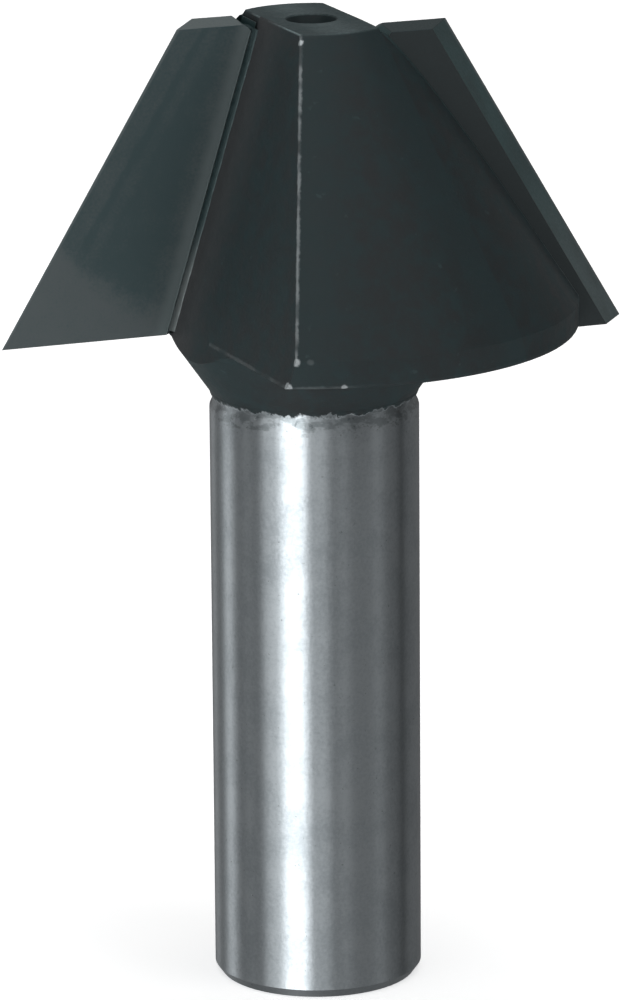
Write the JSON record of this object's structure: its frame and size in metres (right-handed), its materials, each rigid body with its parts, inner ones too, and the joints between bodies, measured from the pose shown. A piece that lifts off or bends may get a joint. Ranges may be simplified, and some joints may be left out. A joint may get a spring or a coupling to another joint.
{
  "type": "chamfer router bit",
  "caption": "Router bit with a cylindrical shank and a conical head that carries brazed carbide tips for cutting a 30 degree chamfer.",
  "frame": {"origin": "centre of the shank's end face", "axes": "+Z along the axis of rotation, from the shank's end towards the cutting head; +X lies near the cutting edge of tip 1"},
  "size_m": [0.0234, 0.0202, 0.0375],
  "materials": {
    "tool_steel": "ground shank, dark coated head",
    "carbide": "fine ground, satin",
    "solder": "dull, coated over"
  },
  "bodies": {
    "root": {"tool_body": "tool_steel", "carbide_tip_1": "carbide", "carbide_tip_2": "carbide", "solder_layer_1": "solder", "solder_layer_2": "solder"}
  },
  "joints": []
}
